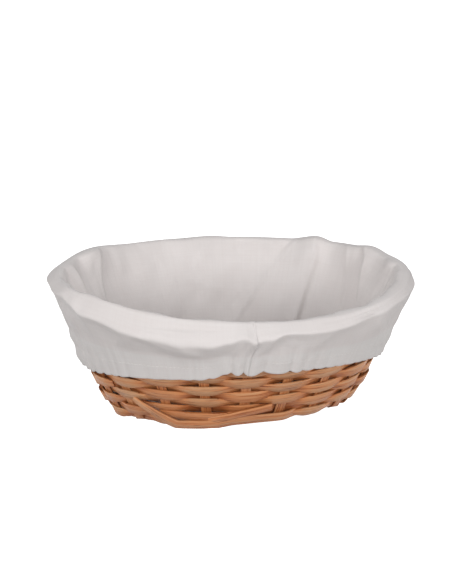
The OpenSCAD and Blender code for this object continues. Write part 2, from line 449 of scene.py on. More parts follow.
# %% The strip tree
def strip_tree():
    """Geometry Nodes that turn a route with attributes into a flat strip."""
    tree = bpy.data.node_groups.new("split_wood_strip", "GeometryNodeTree")
    face = tree.interface
    face.new_socket("Geometry", in_out="INPUT", socket_type="NodeSocketGeometry")
    face.new_socket("Edge Round", in_out="INPUT", socket_type="NodeSocketFloat")
    face.new_socket("Material", in_out="INPUT", socket_type="NodeSocketMaterial")
    face.new_socket("Geometry", in_out="OUTPUT", socket_type="NodeSocketGeometry")
    board = Board(tree)
    entry = tree.nodes.new("NodeGroupInput")
    geometry, edge_round, material = [Socket(board, entry.outputs[k]) for k in range(3)]

    def named(name, kind="FLOAT_VECTOR"):
        return board.node("GeometryNodeInputNamedAttribute", {"data_type": kind}, {"Name": name})

    def store(shape, name, value, kind="FLOAT_VECTOR"):
        return board.node("GeometryNodeStoreNamedAttribute", {"data_type": kind}, {
            "Geometry": shape, "Name": name, "Value": value})

    route = board.node("GeometryNodeMeshToCurve", {}, {0: geometry})
    position = board.node("GeometryNodeInputPosition")
    tangent = board.node("GeometryNodeInputTangent")
    outward = board.vector("NORMALIZE", board.vector("CROSS_PRODUCT", tangent, named("across")))
    route = store(store(route, "middle", position), "outward", outward)
    profile = board.node("GeometryNodeCurvePrimitiveCircle", {}, {"Resolution": 12, "Radius": 1.0})
    profile = store(profile, "corner", board.node("GeometryNodeInputPosition"))
    body = board.node("GeometryNodeCurveToMesh", {}, {
        "Curve": route, "Profile Curve": profile, "Fill Caps": True})
    x, y, _ = board.split(named("corner"))
    half_width, half_thick = named("half_width", "FLOAT"), named("half_thick", "FLOAT")
    sideways = (x + 0.001).sign() * (half_width - edge_round) + x * edge_round
    upwards = (y + 0.001).sign() * (half_thick - edge_round) + y * edge_round
    place = board.vector("ADD", named("middle"), board.vector("ADD",
        board.vector("SCALE", named("across"), sideways),
        board.vector("SCALE", named("outward"), upwards)))
    grain = board.join(named("run", "FLOAT"), sideways, named("tone", "FLOAT"))
    body = store(body, "grain", grain)
    body = store(body, "edge", sideways.absolute() / half_width, "FLOAT")
    body = board.node("GeometryNodeSetPosition", {}, {"Geometry": body, "Position": place})
    for name in ("middle", "outward", "corner", "across"):
        body = board.node("GeometryNodeRemoveAttribute", {}, {0: body, "Name": name})
    edge_angle = board.node("GeometryNodeInputMeshEdgeAngle")
    sharp = board.node("FunctionNodeCompare", {"operation": "GREATER_THAN"}, {
        0: edge_angle, 1: math.radians(50)})
    body = board.node("GeometryNodeSetShadeSmooth", {"domain": "EDGE"}, {
        "Geometry": body, "Selection": sharp, "Shade Smooth": False})
    body = board.node("GeometryNodeRealizeInstances", {}, {0: body})
    body = board.node("GeometryNodeSetMaterial", {}, {0: body, "Material": material})
    result = tree.nodes.new("NodeGroupOutput")
    tree.links.new(body.socket, result.inputs[0])
    return tree


STRIP_TREE = strip_tree()
print("strip tree:", len(STRIP_TREE.nodes), "nodes")


# %% Running a tree on an object
def add_attribute(mesh, name, values):
    """Stores a number or a vector for each point of a mesh."""
    values = np.asarray(values, float)
    kind = "FLOAT_VECTOR" if values.ndim == 2 else "FLOAT"
    layer = mesh.attributes.new(name, kind, "POINT")
    layer.data.foreach_set("vector" if values.ndim == 2 else "value", values.ravel())


def grown(name, mesh, tree, inputs):
    """The mesh that a Geometry Nodes tree makes from a mesh, as a plain object."""
    source = bpy.data.objects.new(name + "_route", mesh)
    scene.collection.objects.link(source)
    modifier = source.modifiers.new("grow", "NODES")
    modifier.node_group = tree
    for item in tree.interface.items_tree:
        if item.item_type == "SOCKET" and item.in_out == "INPUT" and item.name in inputs:
            modifier[item.identifier] = inputs[item.name]
    bpy.context.view_layer.update()
    ready = source.evaluated_get(bpy.context.evaluated_depsgraph_get())
    result = bpy.data.meshes.new_from_object(ready)
    bpy.data.objects.remove(source)
    bpy.data.meshes.remove(mesh)
    piece = bpy.data.objects.new(name, result)
    result.name = name
    scene.collection.objects.link(piece)
    return piece


def strip(name, places, across, half_width, half_thick, material, tone, shade, edge=0.22 * MM):
    """A strip along a route, with its width's direction at each place and its edges' roundness."""
    places = np.asarray(places, float)
    count = len(places)
    mesh = bpy.data.meshes.new(name + "_route")
    mesh.from_pydata(places.tolist(), [(k, k + 1) for k in range(count - 1)], [])
    lengths = np.linalg.norm(np.diff(places, axis=0), axis=1)
    add_attribute(mesh, "across", unit(np.broadcast_to(across, (count, 3))))
    add_attribute(mesh, "half_width", np.broadcast_to(half_width, count))
    add_attribute(mesh, "half_thick", np.broadcast_to(half_thick, count))
    add_attribute(mesh, "run", np.append(0, np.cumsum(lengths)))
    add_attribute(mesh, "tone", np.full(count, tone))
    add_attribute(mesh, "shade", np.broadcast_to(shade, count))
    return grown(name, mesh, STRIP_TREE, {"Edge Round": edge, "Material": material})


# %% [markdown]
# ## Stakes
# A stake is one strip that comes down a wall, turns under the base, goes over and under the
# strips that cross it there, and climbs the other wall. Its sides waver a little, because wood
# splits along its fibres and not along a ruler.

# %% Stakes
STAKE_HALF = 3.9 * MM
# Height of the lower strips under the base, how far a strip climbs over one that crosses it, and
# how tightly a stake turns from the base into the wall
LOW_LAYER = 0.65 * MM
LAYER_STEP = 1.5 * MM
BEND = 3 * MM
cross_angles = [math.pi - a for a in quarter[2:]][:3] + [math.pi / 2] + quarter[2:][::-1]
cross_places = [base_x * math.cos(a) for a in cross_angles]
long_angles = [-quarter[1], 0.0, quarter[1]]
long_places = [base_y * math.sin(a) for a in long_angles]


def stake_route(start, end, run, crossings, first_upper):
    """Places and width directions of a stake between its two ends' angles."""
    run = np.array(run, float)
    side = np.cross([0, 0, 1], run)

    def wall_part(angle):
        heights = np.linspace(0, 1, 46) ** 0.8 * (TOP - LOW_LAYER) + LOW_LAYER
        return on_wall(angle, heights), wall_axes(angle, heights)[0]

    def oriented(directions, share):
        sign = np.sign(directions @ side)[:, None]
        return unit(side + (directions * sign - side) * share[:, None])

    first, first_along = wall_part(start)
    last, last_along = wall_part(end)
    distances = np.linspace(first[0] @ run + BEND, last[0] @ run - BEND, 90)
    offset = first[0] - (first[0] @ run) * run
    offset[2] = 0
    heights = np.full(len(distances), LOW_LAYER)
    for k, crossing in enumerate(crossings):
        if (k % 2 == 0) == first_upper:
            near = 1 - smooth(np.abs(distances - crossing), 3.2 * MM, 7.2 * MM)
            heights = np.maximum(heights, LOW_LAYER + LAYER_STEP * near)
    flat = distances[:, None] * run + offset + heights[:, None] * np.array([0, 0, 1.0])

    def corner(inner, foot, up):
        u = np.linspace(0, 1, 9)[:, None]
        return (1 - u) ** 2 * inner + 2 * u * (1 - u) * foot + u ** 2 * up

    climb = np.searchsorted(first[:, 2], BEND)
    turn_first = corner(flat[0], first[0], first[climb])[::-1]
    turn_last = corner(flat[-1], last[0], last[climb])
    share = np.linspace(0, 1, 9)
    places = np.concatenate([first[:climb:-1], turn_first[:-1], flat, turn_last[1:], last[climb + 1:]])
    across = np.concatenate([
        oriented(first_along[:climb:-1], np.ones(len(first) - climb - 1)),
        oriented(np.repeat(first_along[climb:climb + 1], 8, 0), share[::-1][:-1]),
        np.repeat(side[None], len(flat), 0),
        oriented(np.repeat(last_along[climb:climb + 1], 8, 0), share[1:]),
        oriented(last_along[climb + 1:], np.ones(len(last) - climb - 1))])
    return places, across


def stake(name, number, *route):
    """A stake with wavering sides and its own tone."""
    places, across = stake_route(*route)
    random = np.random.default_rng(number)
    where = np.linspace(0, 6, len(places))
    waver = 0.05 * np.sin(where * 2 + random.uniform(0, 6)) + 0.03 * np.sin(5 * where)
    piece = strip(name, places, across, STAKE_HALF * (1 + waver), STAKE_THICK / 2, stake_wood,
                  number, random.uniform(0.2, 0.7))
    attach(piece, "basket")
    return piece


for i, (angle, place) in enumerate(zip(cross_angles, cross_places), 1):
    made = stake(f"stake_cross_{i}", i,
                 -angle, angle, (0, 1, 0), long_places, i % 2 == 1)
    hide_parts(f"cross_stake_{i}")
for j, angle in enumerate(long_angles, 1):
    made = stake(f"stake_long_{j}", 20 + j,
                 math.pi - angle, angle, (1, 0, 0), cross_places, j % 2 == 0)
    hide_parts(f"long_stake_{j}")
print("stakes: 7 across and 3 along")

# %% [markdown]
# ## Weaving
# A row goes in front of one stake and behind the next, and the row above does the opposite. A
# real strip is widest to the eye where it lies in front of a stake, and turns on edge a little
# where it dives between two stakes, so each front reads as a long lens. No row is level: rows
# wander, crowd each other and open small gaps. Each strip's end is lapped over its start.

# %% Rows
ROWS = 13
WEAVE_DEPTH = 1.55 * MM
WEAVER_THICK = 1.1 * MM
FIRST_ROW = 7.0 * MM
LOW_PITCH = 6.75 * MM
LOW_ROWS = 7
LAST_ROW = 83.2 * MM
upper_pitch = (LAST_ROW - FIRST_ROW - (LOW_ROWS - 1) * LOW_PITCH) / (ROWS - LOW_ROWS)
# Half the width of a strip between two stakes, and what it gains in front of one and behind one
WEAVER_HALF = 3.35 * MM
FRONT_GAIN = 1.35 * MM
BACK_GAIN = 1.6 * MM
LAP = 1.05
SAMPLES = 14


def row_height(row):
    """Mean height of a row's middle: wider spaced below, closer above."""
    return FIRST_ROW + min(row - 1, LOW_ROWS - 1) * LOW_PITCH + max(0, row - LOW_ROWS) * upper_pitch


def row_side(row, step):
    """Side of the wall that a row runs on, from 1 in front to -1 behind."""
    return np.cos(math.pi * (step + row))


def lap_stake(row):
    """Stake before which a row starts and ends, so that its lap lies in front."""
    return (6 * row + (row + 1) % 2) % STAKES


def led(row, angle, side):
    """The side a row runs on, changed where the two lowest rows crowd together in front."""
    if row == 1:
        amount = keyed(angle, [(0, 0), (238, 0), (246, 1), (289, 1), (297, 0)])
        return side * (1 - amount) + amount
    if row == 2:
        amount = keyed(angle, [(0, 0), (225, 0), (233, 1), (292, 1), (299, 0)])
        target = keyed(angle, [(0, 0), (225, 1), (272, 1), (280, -1), (299, -1)])
        return side * (1 - amount) + target * amount
    return side


def lifted(places, across, half_width):
    """A strip's places, raised where its lower edge would go into the floor."""
    lowest = places[:, 2] - np.abs(across[:, 2]) * half_width - 0.45 * WEAVER_THICK
    places[:, 2] += np.maximum(0, -lowest)
    return places


def weaver(row):
    """One row of weaving."""
    start = lap_stake(row) + 0.5
    step = np.linspace(start, start + STAKES + LAP, int((STAKES + LAP) * SAMPLES))
    angle = angle_at(step)
    side = np.clip(led(row, angle, 1.12 * row_side(row, step)), -1, 1)
    front = smooth(side, -0.35, 0.95)
    random = np.random.default_rng(100 + row)
    depth = WEAVE_DEPTH * (1 + 0.15 * wander(step, 200 + row, waves=7))
    crowd = 0 * angle
    if row < 3:
        crowd = keyed(angle, [(0, 0), (228, 0), (242, 1), (272, 1), (286, 0)])
    out = depth * side + crowd * (row - 1) * WEAVER_THICK
    lapped = smooth(step, start + STAKES - 0.25, start + STAKES + 0.1)
    out = out + lapped * (WEAVER_THICK + 0.15 * MM)
    height = row_height(row) + 0.95 * MM * wander(step, 300 + row, waves=9)
    height = height + crowd * (2.2 - 0.2 * row) * MM
    climb = keyed(angle, [(0, 1), (40, 0.3), (80, 0), (300, 0), (345, 1)])
    height = height + lapped * 0.8 * MM + climb * max(0, 4.5 - 0.6 * row) * MM
    half_width = WEAVER_HALF + FRONT_GAIN * smooth(side, 0, 1) + BACK_GAIN * smooth(-side, 0, 1)
    half_width = half_width * (1 + 0.10 * wander(step, 400 + row, waves=15))
    tilt = math.radians(9) * wander(step, 500 + row, waves=15)
    _, up, outward = wall_axes(angle, height)
    across = up * np.cos(tilt)[:, None] + outward * np.sin(tilt)[:, None]
    # Darker where the strip goes behind a stake and a little lighter in front of one: painted shade and
    # light, over the strip's own tone
    shade = random.uniform(0.35, 0.85) + 0.8 * (front - 0.75)
    shade = np.clip(shade + 0.3 * wander(step, 600 + row, waves=15), -0.3, 1.1)
    places = lifted(on_wall(angle, height, out), across, half_width)
    piece = strip(f"weaver_row_{row}", places, across, half_width,
                  WEAVER_THICK / 2, weaver_wood, 40 + row, shade)
    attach(piece, "basket")
    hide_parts(f"weaver_{row}")
    return piece


def tail(name, row, keys, half_width, tone, shade):
    """A loose end of a row, over the other rows, through keys of degrees, height and offset in mm."""
    angle = np.radians(np.linspace(keys[0][0], keys[-1][0], 10 * len(keys)))
    height = MM * keyed(angle, [(k[0], k[1]) for k in keys])
    out = MM * keyed(angle, [(k[0], k[2]) for k in keys])
    height, out = softened(height.copy(), 25), softened(out.copy(), 12)
    taper = 0.55 + 0.45 * smooth(np.arange(len(angle)), 0, 40)
    places = on_wall(angle, height, out)
    across = np.cross(wall_axes(angle, height)[2], unit(np.gradient(places, axis=0)))
    half_width = half_width * taper * MM
    piece = strip(name, lifted(places, across, half_width), across, half_width,
                  WEAVER_THICK / 2, weaver_wood, tone, shade)
    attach(piece, "basket")
    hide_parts(f"weaver_{row}")


for row in range(1, ROWS + 1):
    weaver(row)
tail("weaver_tail_1", 1, [(210, 28, -2), (217, 25.5, 0.5), (224, 21.5, 3.4), (231, 14.5, 4.4),
                          (237, 8.5, 5.4), (243, 6, 7.0), (249, 6, 6.8), (256, 7, 4.8),
                          (266, 9.6, 3.6), (278, 10, 3.2), (289, 9, 2.8), (297, 8, -1)],
     half_width=4.4, tone=81, shade=0.7)
tail("weaver_tail_2", 2, [(246, 9, 2.6), (254, 12, 4.2), (262, 15, 4.2), (270, 18.3, 4.0),
                          (276, 20, 3.4), (282, 21.6, 2.8)],
     half_width=3.7, tone=82, shade=0.35)
print(ROWS, "rows of weaving and two loose tails")

# %% [markdown]
# ## Rim
# Two flat bands hold the stakes' tops between them, and one thin strip is lashed round both,
# through the wall twice between every two stakes.

# %% Rim bands
BAND_HALF = 5.6 * MM
BAND_THICK = 2.5 * MM
BAND_GAP = STAKE_THICK / 2 + 0.3 * MM
band_middle = TOP - 4.4 * MM


def rim_band(name, node, sign, number):
    """One band of the rim, with its ends butted between two stakes."""
    step = np.linspace(0.5, STAKES + 0.495, 400)
    angle = angle_at(step)
    out = sign * (BAND_GAP + BAND_THICK / 2)
    height = band_middle + 0.25 * MM * wander(step, number)
    piece = strip(name, on_wall(angle, height, out), wall_axes(angle, height)[1], BAND_HALF,
                  BAND_THICK / 2, weaver_wood, number, 0.55, edge=0.6 * MM)
    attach(piece, "basket")
    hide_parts(node)


rim_band("rim_band_outside", "rim_outer_band", 1, 61)
rim_band("rim_band_inside", "rim_inner_band", -1, 62)
print(f"rim bands' middle at {1e3 * band_middle:.0f} mm")


# %% Lashing
LASHING_HALF = 2.1 * MM
LASHING_THICK = 0.8 * MM


def lashing():
    """The strip wound round both bands."""
    reach = BAND_GAP + BAND_THICK + 0.7 * MM
    low = band_middle - BAND_HALF * 0.91 - 0.75 * MM
    high = band_middle + BAND_HALF * 0.91 + 0.75 * MM
    stakes = np.arange(STAKES)
    through = angle_at(np.sort(np.concatenate([stakes + 0.3, stakes + 0.7])))
    corners = []
    for here, after in zip(through[:-1], through[1:]):
        corners += [(here, low, -reach), (here, low, reach), (here, high, reach), (after, high, -reach)]
    corners = np.array(corners)
    places, across = [], []
    share = np.array([0.12, 0.3, 0.5, 0.7, 0.88])[:, None]
    for first, second in zip(corners[:-1], corners[1:]):
        mixed = first * (1 - share) + second * share
        places.append(on_wall(mixed[:, 0], mixed[:, 1], mixed[:, 2]))
        across.append(wall_axes(mixed[:, 0], mixed[:, 1])[0])
    piece = strip("rim_lashing_strip", np.concatenate(places), np.concatenate(across),
                  LASHING_HALF, LASHING_THICK / 2, weaver_wood, 63, 0.6, edge=0.15 * MM)
    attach(piece, "basket")
    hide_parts("rim_lashing")


lashing()
print("rim: two bands and their lashing")

# %% [markdown]
# ## Cotton
# The liner is thin plain-weave cotton. Its threads are uneven, so slightly thicker ones show as
# faint streaks along and across the cloth. One layer lets a little of the wood's warmth through,
# and the doubled hem is whiter. The pattern reads an attribute of the cloth, metres along and
# metres up, so it follows every fold.


# %% The cloth materials
def cotton_material(name, single, double):
    """Plain-weave cotton, warmer where it is one layer thick."""
    material, board, shader = material_board(name, 0.9, sheen=0.35, specular=0.2)
    place = board.node("ShaderNodeAttribute", {"attribute_name": "cloth"}, output=1)
    along, up, layers = board.split(place)
    weft = board.node("ShaderNodeTexNoise", {}, {
        "Vector": board.join(along * 14, up * 700, 0.0), "Scale": 1.0, "Detail": 3.0})
    warp = board.node("ShaderNodeTexNoise", {}, {
        "Vector": board.join(along * 700, up * 14, 5.0), "Scale": 1.0, "Detail": 3.0})
    cloud = board.node("ShaderNodeTexNoise", {}, {
        "Vector": board.join(along * 26, up * 26, 9.0), "Scale": 1.0, "Detail": 2.0})
    slub = weft * 0.5 + warp * 0.5
    warm = board.node("ShaderNodeMix", {"data_type": "RGBA"}, {
        0: layers, 6: (*single, 1), 7: (*double, 1)}, output=2)
    amount = board.node("ShaderNodeMath", {"operation": "ADD", "use_clamp": True}, {
        0: slub * 0.75, 1: cloud * 0.45 - 0.22})
    deeper = tuple(v * k for v, k in zip(single, (0.86, 0.83, 0.82)))
    colour = board.node("ShaderNodeMix", {"data_type": "RGBA"}, {
        0: amount, 6: (*deeper, 1), 7: warm}, output=2)
    feed(board, shader, "Base Color", colour)
    threads = (along * 9000).sine() * 0.5 + (up * 9000).sine() * 0.5
    height = slub * 1.6 + threads * 0.25
    bump = board.node("ShaderNodeBump", {}, {
        "Strength": 0.45, "Distance": 0.25 * MM, "Height": height})
    feed(board, shader, "Normal", bump)
    return material


cotton = cotton_material("liner_cotton", (0.715, 0.685, 0.677), (0.725, 0.73, 0.722))
thread = cotton_material("sewing_thread", (0.76, 0.735, 0.725), (0.76, 0.735, 0.725))
elastic = cotton_material("elastic", (0.80, 0.79, 0.78), (0.80, 0.79, 0.78))
print("cloth materials:", cotton.name, thread.name, elastic.name)

# %% [markdown]
# ## The liner's shape
# One long panel goes up the inside of the wall, over the rim, down outside to the hem, and turns
# up inside the hem round the elastic. Cloth this loose has no exact shape, so it is drawn as a
# builder would fold it: first the lines that hold it (the floor's edge, the crest over the rim,
# the ridge outside the rim and the hem), then the creases between them. The panel's two ends meet
# in a seam in the middle of the front, where the elastic is sewn together and gathers the most.

# %% The lines that hold the cloth
CLOTH = 0.5 * MM
SEAM = math.radians(270.5)
# Where the lashing over the rim bands ends, with room for the cloth on it
WOOD_TOP = band_middle + BAND_HALF * 0.91 + 1.6 * MM


def level(angle, height):
    """Turns a height above the floor into a height on the wall."""
    return height / (1 + rise(angle))


def crest_line(angle):
    """Height of the cloth's highest line, over the rim. It stands up loosely at the left end."""
    loose = (103.8 - 3.8 * np.cos(angle) + 2.1 * np.sin(angle) + 4.2 * np.cos(2 * angle)) * MM
    peaks = MM * keyed(angle, [(0, 0), (18, -0.5), (29, 1.5), (38, -0.5), (47, -0.5), (54, 2.5),
                               (64, -0.3), (84, 0), (91, 1.0), (104, 0), (120, -0.5), (138, 1.5),
                               (158, -0.5), (186, 0), (200, 2), (214, 2.5), (262, 1.5), (285, 0.5),
                               (300, 0)])
    step = angle * STAKES / full_turn
    return np.maximum(level(angle, loose + peaks) + 0.5 * MM * wander(step, 700, waves=12),
                      WOOD_TOP + 0.6 * MM)


def ridge_drop(angle):
    """How far the outer ridge lies below the crest: most in the left half of the front."""
    return MM * keyed(angle, [(0, 4), (40, 3), (90, 4), (140, 3), (180, 2), (196, 1.5), (203, 3.5),
                              (210, 7), (230, 9.5), (246, 11.5), (256, 10), (263, 7), (268, 3.5),
                              (271, 6.5), (275, 5), (280, 2.5), (290, 4), (305, 4.5), (330, 3.5)])


def hem_line(angle):
    """Height of the hem, higher at the front and back than at the ends."""
    loose = (46.3 + 0.3 * np.cos(angle) - 2.9 * np.sin(angle) - 5.2 * np.cos(2 * angle)) * MM
    step = angle * STAKES / full_turn
    uneven = MM * keyed(angle, [(0, 2), (90, 1), (170, 2), (185, 4), (205, 3), (222, 2), (240, 0.5),
                                (252, 0), (257, 1), (262, 6), (275, 5), (290, 3.5), (345, 3)])
    return level(angle, loose + uneven) + 0.7 * MM * wander(step, 710, waves=9)


def gather_strength(angle):
    """How strongly the elastic gathers the hem: at the two ends and by the seam."""
    return keyed(angle, [(0, 1.0), (18, 0.8), (40, 0.4), (90, 0.45), (150, 0.5), (172, 1.0),
                         (200, 0.8), (216, 0.3), (240, 0.12), (258, 0.35), (266, 1.3),
                         (272, 1.6), (284, 1.1), (296, 0.25), (325, 0.2), (342, 0.8)])


def lobes(angle):
    """Gathers: round lobes with narrow valleys, 0 in a valley and 1 on a lobe."""
    step = angle * STAKES / full_turn
    phase = 31 * angle + 3.5 * wander(step, 720, waves=20)
    return np.abs(np.sin(phase)) ** 0.8


# %% Creases
WALL_RADIUS = 0.115


def turned(degrees, start):
    """Degrees past a start, the short way round."""
    return (degrees - start + 180) % 360 - 180


def crease(angle, height, start, end, size, steep, gentle):
    """A fold along a line between two places (degrees, mm), steep on one side, gentle on the other.

    Size and the two sides' widths are in mm. The steep side lies towards larger angles for a line
    drawn downwards."""
    x = np.radians(turned(np.degrees(angle), start[0])) * WALL_RADIUS
    y = height - start[1] * MM
    run = np.array([math.radians(turned(end[0], start[0])) * WALL_RADIUS, (end[1] - start[1]) * MM])
    length = np.linalg.norm(run)
    u = (x * run[0] + y * run[1]) / length ** 2
    across = (x * run[1] - y * run[0]) / length
    width = np.where(across > 0, gentle, steep) * MM
    fade = smooth(u, -0.25, 0.2) * (1 - smooth(u, 0.8, 1.25))
    return size * MM * fade / (1 + (across / width) ** 2)


def flap(angle, height, ridge, foot, size, steep):
    """A flat flap of cloth that rises from its foot to a ridge and drops steeply beyond it.

    Ridge and foot are lines of (mm, degrees) down the wall; steep is the drop's width in degrees."""
    tall = height / MM
    top = np.interp(tall, [k[0] for k in ridge], [k[1] for k in ridge])
    low = np.interp(tall, [k[0] for k in foot], [k[1] for k in foot])
    turn = turned(np.degrees(angle), top)
    u = turn / (low - top)
    rising = np.clip(1 - u, 0, 1) ** 0.45
    falling = np.exp(-np.abs(turn) / steep)
    return size * MM * np.where(u > 0, rising, falling) * smooth(tall, 22, 45)


FLAPS = [
    ([(40, 56), (66, 53.5), (88, 51.5), (108, 54.5)], [(40, 81), (104, 59)], 4.4, 0.8),
    ([(60, 149), (112, 138)], [(60, 176), (112, 168)], 5.0, 1.6),
    ([(60, 21), (90, 26), (108, 31)], [(60, -4), (108, 4)], 4.5, 1.6),
    ([(60, 33), (108, 40)], [(60, 24), (108, 30)], 2.2, 3.0)]
INNER_FOLDS = [
    ((59, 106), (83, 42), 1.9, 0.9, 1.5), ((62, 102), (88, 44), -1.3, 3, 3),
    ((128, 100), (134, 52), 1.5, 5, 9), ((91, 103), (98, 82), 1.8, 2, 6),
    ((112, 96), (104, 55), 1.4, 6, 10), ((352, 100), (4, 60), 2.0, 7, 3),
    ((104, 74), (88, 62), 1.2, 5, 3), ((84, 84), (70, 78), 0.9, 3, 5),
    ((163, 104), (168, 50), 2.8, 8, 3), ((190, 96), (186, 40), 3.5, 3, 8),
    ((222, 90), (214, 38), 3.5, 8, 3), ((247, 88), (256, 30), 3.0, 3, 9),
    ((283, 88), (274, 30), 3.5, 8, 3), ((312, 90), (318, 36), 3.5, 3, 8),
    ((333, 92), (330, 44), 3.0, 6, 3)]
OUTER_FOLDS = [
    ((270.5, 92), (268.5, 60), 1.6, 1.2, 5), ((266, 70), (263, 52), 1.6, 2.5, 1.5),
    ((276, 72), (279, 54), 1.7, 1.5, 2.5), ((283, 68), (284, 54), 1.3, 2.5, 1.5),
    ((259, 66), (257, 54), 1.0, 1.5, 3), ((232, 96), (243, 84), 1.2, 3, 5),
    ((231, 95), (214, 60), 1.3, 4, 9), ((246, 88), (262, 66), 1.5, 4, 8),
    ((279, 96), (270, 70), 1.6, 3, 6), ((268, 96), (265, 76), 1.6, 5, 2.5),
    ((298, 92), (286, 66), 1.1, 4, 8), ((318, 92), (328, 58), 1.2, 7, 4),
    ((200, 96), (190, 62), 1.5, 6, 4), ((345, 94), (352, 62), 1.5, 4, 6),
    ((20, 92), (12, 60), 1.5, 6, 4), ((60, 92), (70, 62), 1.4, 4, 7),
    ((100, 92), (92, 62), 1.4, 7, 4), ((140, 94), (150, 62), 1.4, 4, 7)]


def folds(angle, height, table):
    """All the creases of one side of the cloth, added up."""
    return sum(crease(angle, height, *line) for line in table)


def slack(angle, height):
    """Long soft waves of loose cloth."""
    waves = [(7, 0.09, 0.3), (-11, 0.13, 1.9), (16, -0.05, 4.1), (-5, 0.17, 2.7), (23, 0.11, 0.9)]
    return sum(np.sin(angle * k + height * m / MM + q) for k, m, q in waves)


def crumple(angle, height):
    """Low ridges with narrow valleys between them, as cloth keeps from having been folded."""
    ridges = [(0.55, 9, 0.055, 0.4, 5), (0.45, -13, 0.075, 2.1, 7), (0.35, 6, -0.12, 1.2, 11),
              (0.3, -21, 0.04, 3.0, 4)]
    return sum(size * np.abs(np.sin(angle * k + height * m / MM + q
                                    + 1.5 * np.sin(angle * n + height * 0.06 / MM)))
               for size, k, m, q, n in ridges)


def seam_bend(angle):
    """How far the elastic drags the hem aside at the seam, as an angle."""
    return math.radians(2.2) * np.exp(-(turned(np.degrees(angle - SEAM), 0) / 7) ** 2)


print("creases:", len(INNER_FOLDS), "inside,", len(OUTER_FOLDS), "outside and", len(FLAPS), "flaps")

# %% [markdown]
# The profile runs from the floor's edge to the inside of the hem as a chain of short straight
# stretches. Each stretch is given by an offset out of the wall and a height on it, both of which
# change round the wall, and by how many rows of the grid it takes.


# %% The panel's profile
def panel_profile(angle):
    """Offsets out of the wall and heights on it, by grid row, and the row of each stretch's end."""
    crest, hem = crest_line(angle), hem_line(angle)
    drop = ridge_drop(angle)
    one = np.ones_like(angle)
    left = (1 - np.cos(angle)) / 2
    ridge_out = 6.3 * MM + 0.4 * drop
    shoulder = np.maximum(crest - 0.36 * drop, WOOD_TOP + 0.3 * MM)
    top_out = MM * keyed(angle, [(0, 1.5), (30, -1), (90, -2.7), (150, -3), (180, -2), (200, -2.5),
                                 (215, -5.5), (262, -5.5), (276, -4.5), (290, -2.5), (305, 0),
                                 (330, 2), (346, 2)])
    bottom = level(angle, FLOOR + 0.5 * MM)
    knots = [
        (-9.5 * MM * one, bottom, 1), (-3.6 * MM * one, bottom, 4),
        (-7.8 * MM * one, 0.35 * crest, 14), (-7.6 * MM * one, 0.68 * crest, 14),
        (-6.2 * MM * one, crest - 11 * MM, 9),
        (np.minimum(-5.4 * MM, top_out - 2.2 * MM), crest - 2.2 * MM, 6),
        (top_out, crest + 0.2 * MM, 4), (0.4 * top_out + 2.4 * MM, shoulder, 4),
        (5.7 * MM * one, np.maximum(crest - 0.74 * drop, WOOD_TOP - 1.8 * MM), 4),
        (ridge_out, crest - drop, 4),
        (ridge_out - 0.1 * drop - (0.6 + left) * MM, crest - drop - 7 * MM, 6),
        ((5.6 - 1.4 * left) * MM, 0.45 * crest + 0.55 * hem, 10),
        (5.2 * MM - 0.3 * MM * left, hem + 6 * MM, 8),
        (5.2 * MM * one, hem + 0.7 * MM, 4), (4.4 * MM * one, hem, 2),
        (3.6 * MM * one, hem + 0.7 * MM, 2), (3.5 * MM * one, hem + 13 * MM, 6)]
    outs, heights = [knots[0][0]], [knots[0][1]]
    for before, after in zip(knots[:-1], knots[1:]):
        for k in range(1, after[2] + 1):
            share = k / after[2]
            outs.append(before[0] * (1 - share) + after[0] * share)
            heights.append(before[1] * (1 - share) + after[1] * share)
    return np.array(outs), np.array(heights), np.cumsum([k[2] for k in knots]) - 1


AROUND = 500
OVERLAP = 0.02
panel_angle = SEAM + np.linspace(0, full_turn + OVERLAP, AROUND)
outs, heights, knot_rows = panel_profile(panel_angle)
corner, crest_at, beside_at, ridge_at, below_ridge, cuff_middle, above_hem, hem_at = knot_rows[
    [1, 6, 8, 9, 10, 11, 12, 14]]
outs[corner:hem_at - 1] = softened(outs[corner:hem_at - 1], 3)
heights[corner:hem_at - 1] = softened(heights[corner:hem_at - 1], 3)
print("panel:", len(outs), "rows of", AROUND, "places")

# %% [markdown]
# Folds and gathers move the cloth in or out of that profile. Three masks say where each one works:
# on the inside, on the cuff, and near the hem. Where the panel's two ends overlap at the seam, one
# lies on the other. Last, cloth that would cut into the rim is lifted off it.

# %% Folds, gathers and room for the rim
# How far the gathers' lobes stand out, and how much higher and lower they pull the hem
GATHER = 1.8 * MM
GATHER_LIFT = 1.5 * MM
row_of = np.arange(len(outs))[:, None]
inner = smooth(row_of, corner, corner + 6) * (1 - smooth(row_of, crest_at - 5, crest_at + 1))
cuff = smooth(row_of, crest_at + 1, crest_at + 9)
hem_near = np.where(row_of > hem_at, 1, smooth(row_of, below_ridge, hem_at - 4))
above_floor = heights * (1 + rise(panel_angle))
loose = slack(panel_angle, above_floor)

# Inside: creases, flaps and soft waves
outs = outs - inner * (
    folds(panel_angle, above_floor, INNER_FOLDS)
    + sum(flap(panel_angle, above_floor, *line) for line in FLAPS)
    + 0.55 * MM * loose + 0.9 * MM * crumple(panel_angle, above_floor))

# Outside: creases, then the gathers of the hem and the cloth bunched at both ends
outs = outs + cuff * (1 - hem_near) * (folds(panel_angle, above_floor, OUTER_FOLDS) + 0.36 * MM * loose)
strength = gather_strength(panel_angle)
outs = outs + hem_near * strength * GATHER * lobes(panel_angle)
heights = heights - smooth(hem_near, 0.5, 1) * strength * GATHER_LIFT * (lobes(panel_angle) - 0.5)
end_bunch = keyed(panel_angle, [(0, 1), (20, 0.2), (90, 0), (155, 0.2), (178, 1), (200, 0.3),
                                (230, 0), (320, 0), (344, 0.5)])
low_cuff = cuff * (1 - smooth(above_floor, 66 * MM, 84 * MM))
outs = outs + low_cuff * end_bunch * 0.7 * MM * np.sin(
    above_floor * full_turn / (15 * MM) + 4 * wander(panel_angle * 3, 730, waves=9))

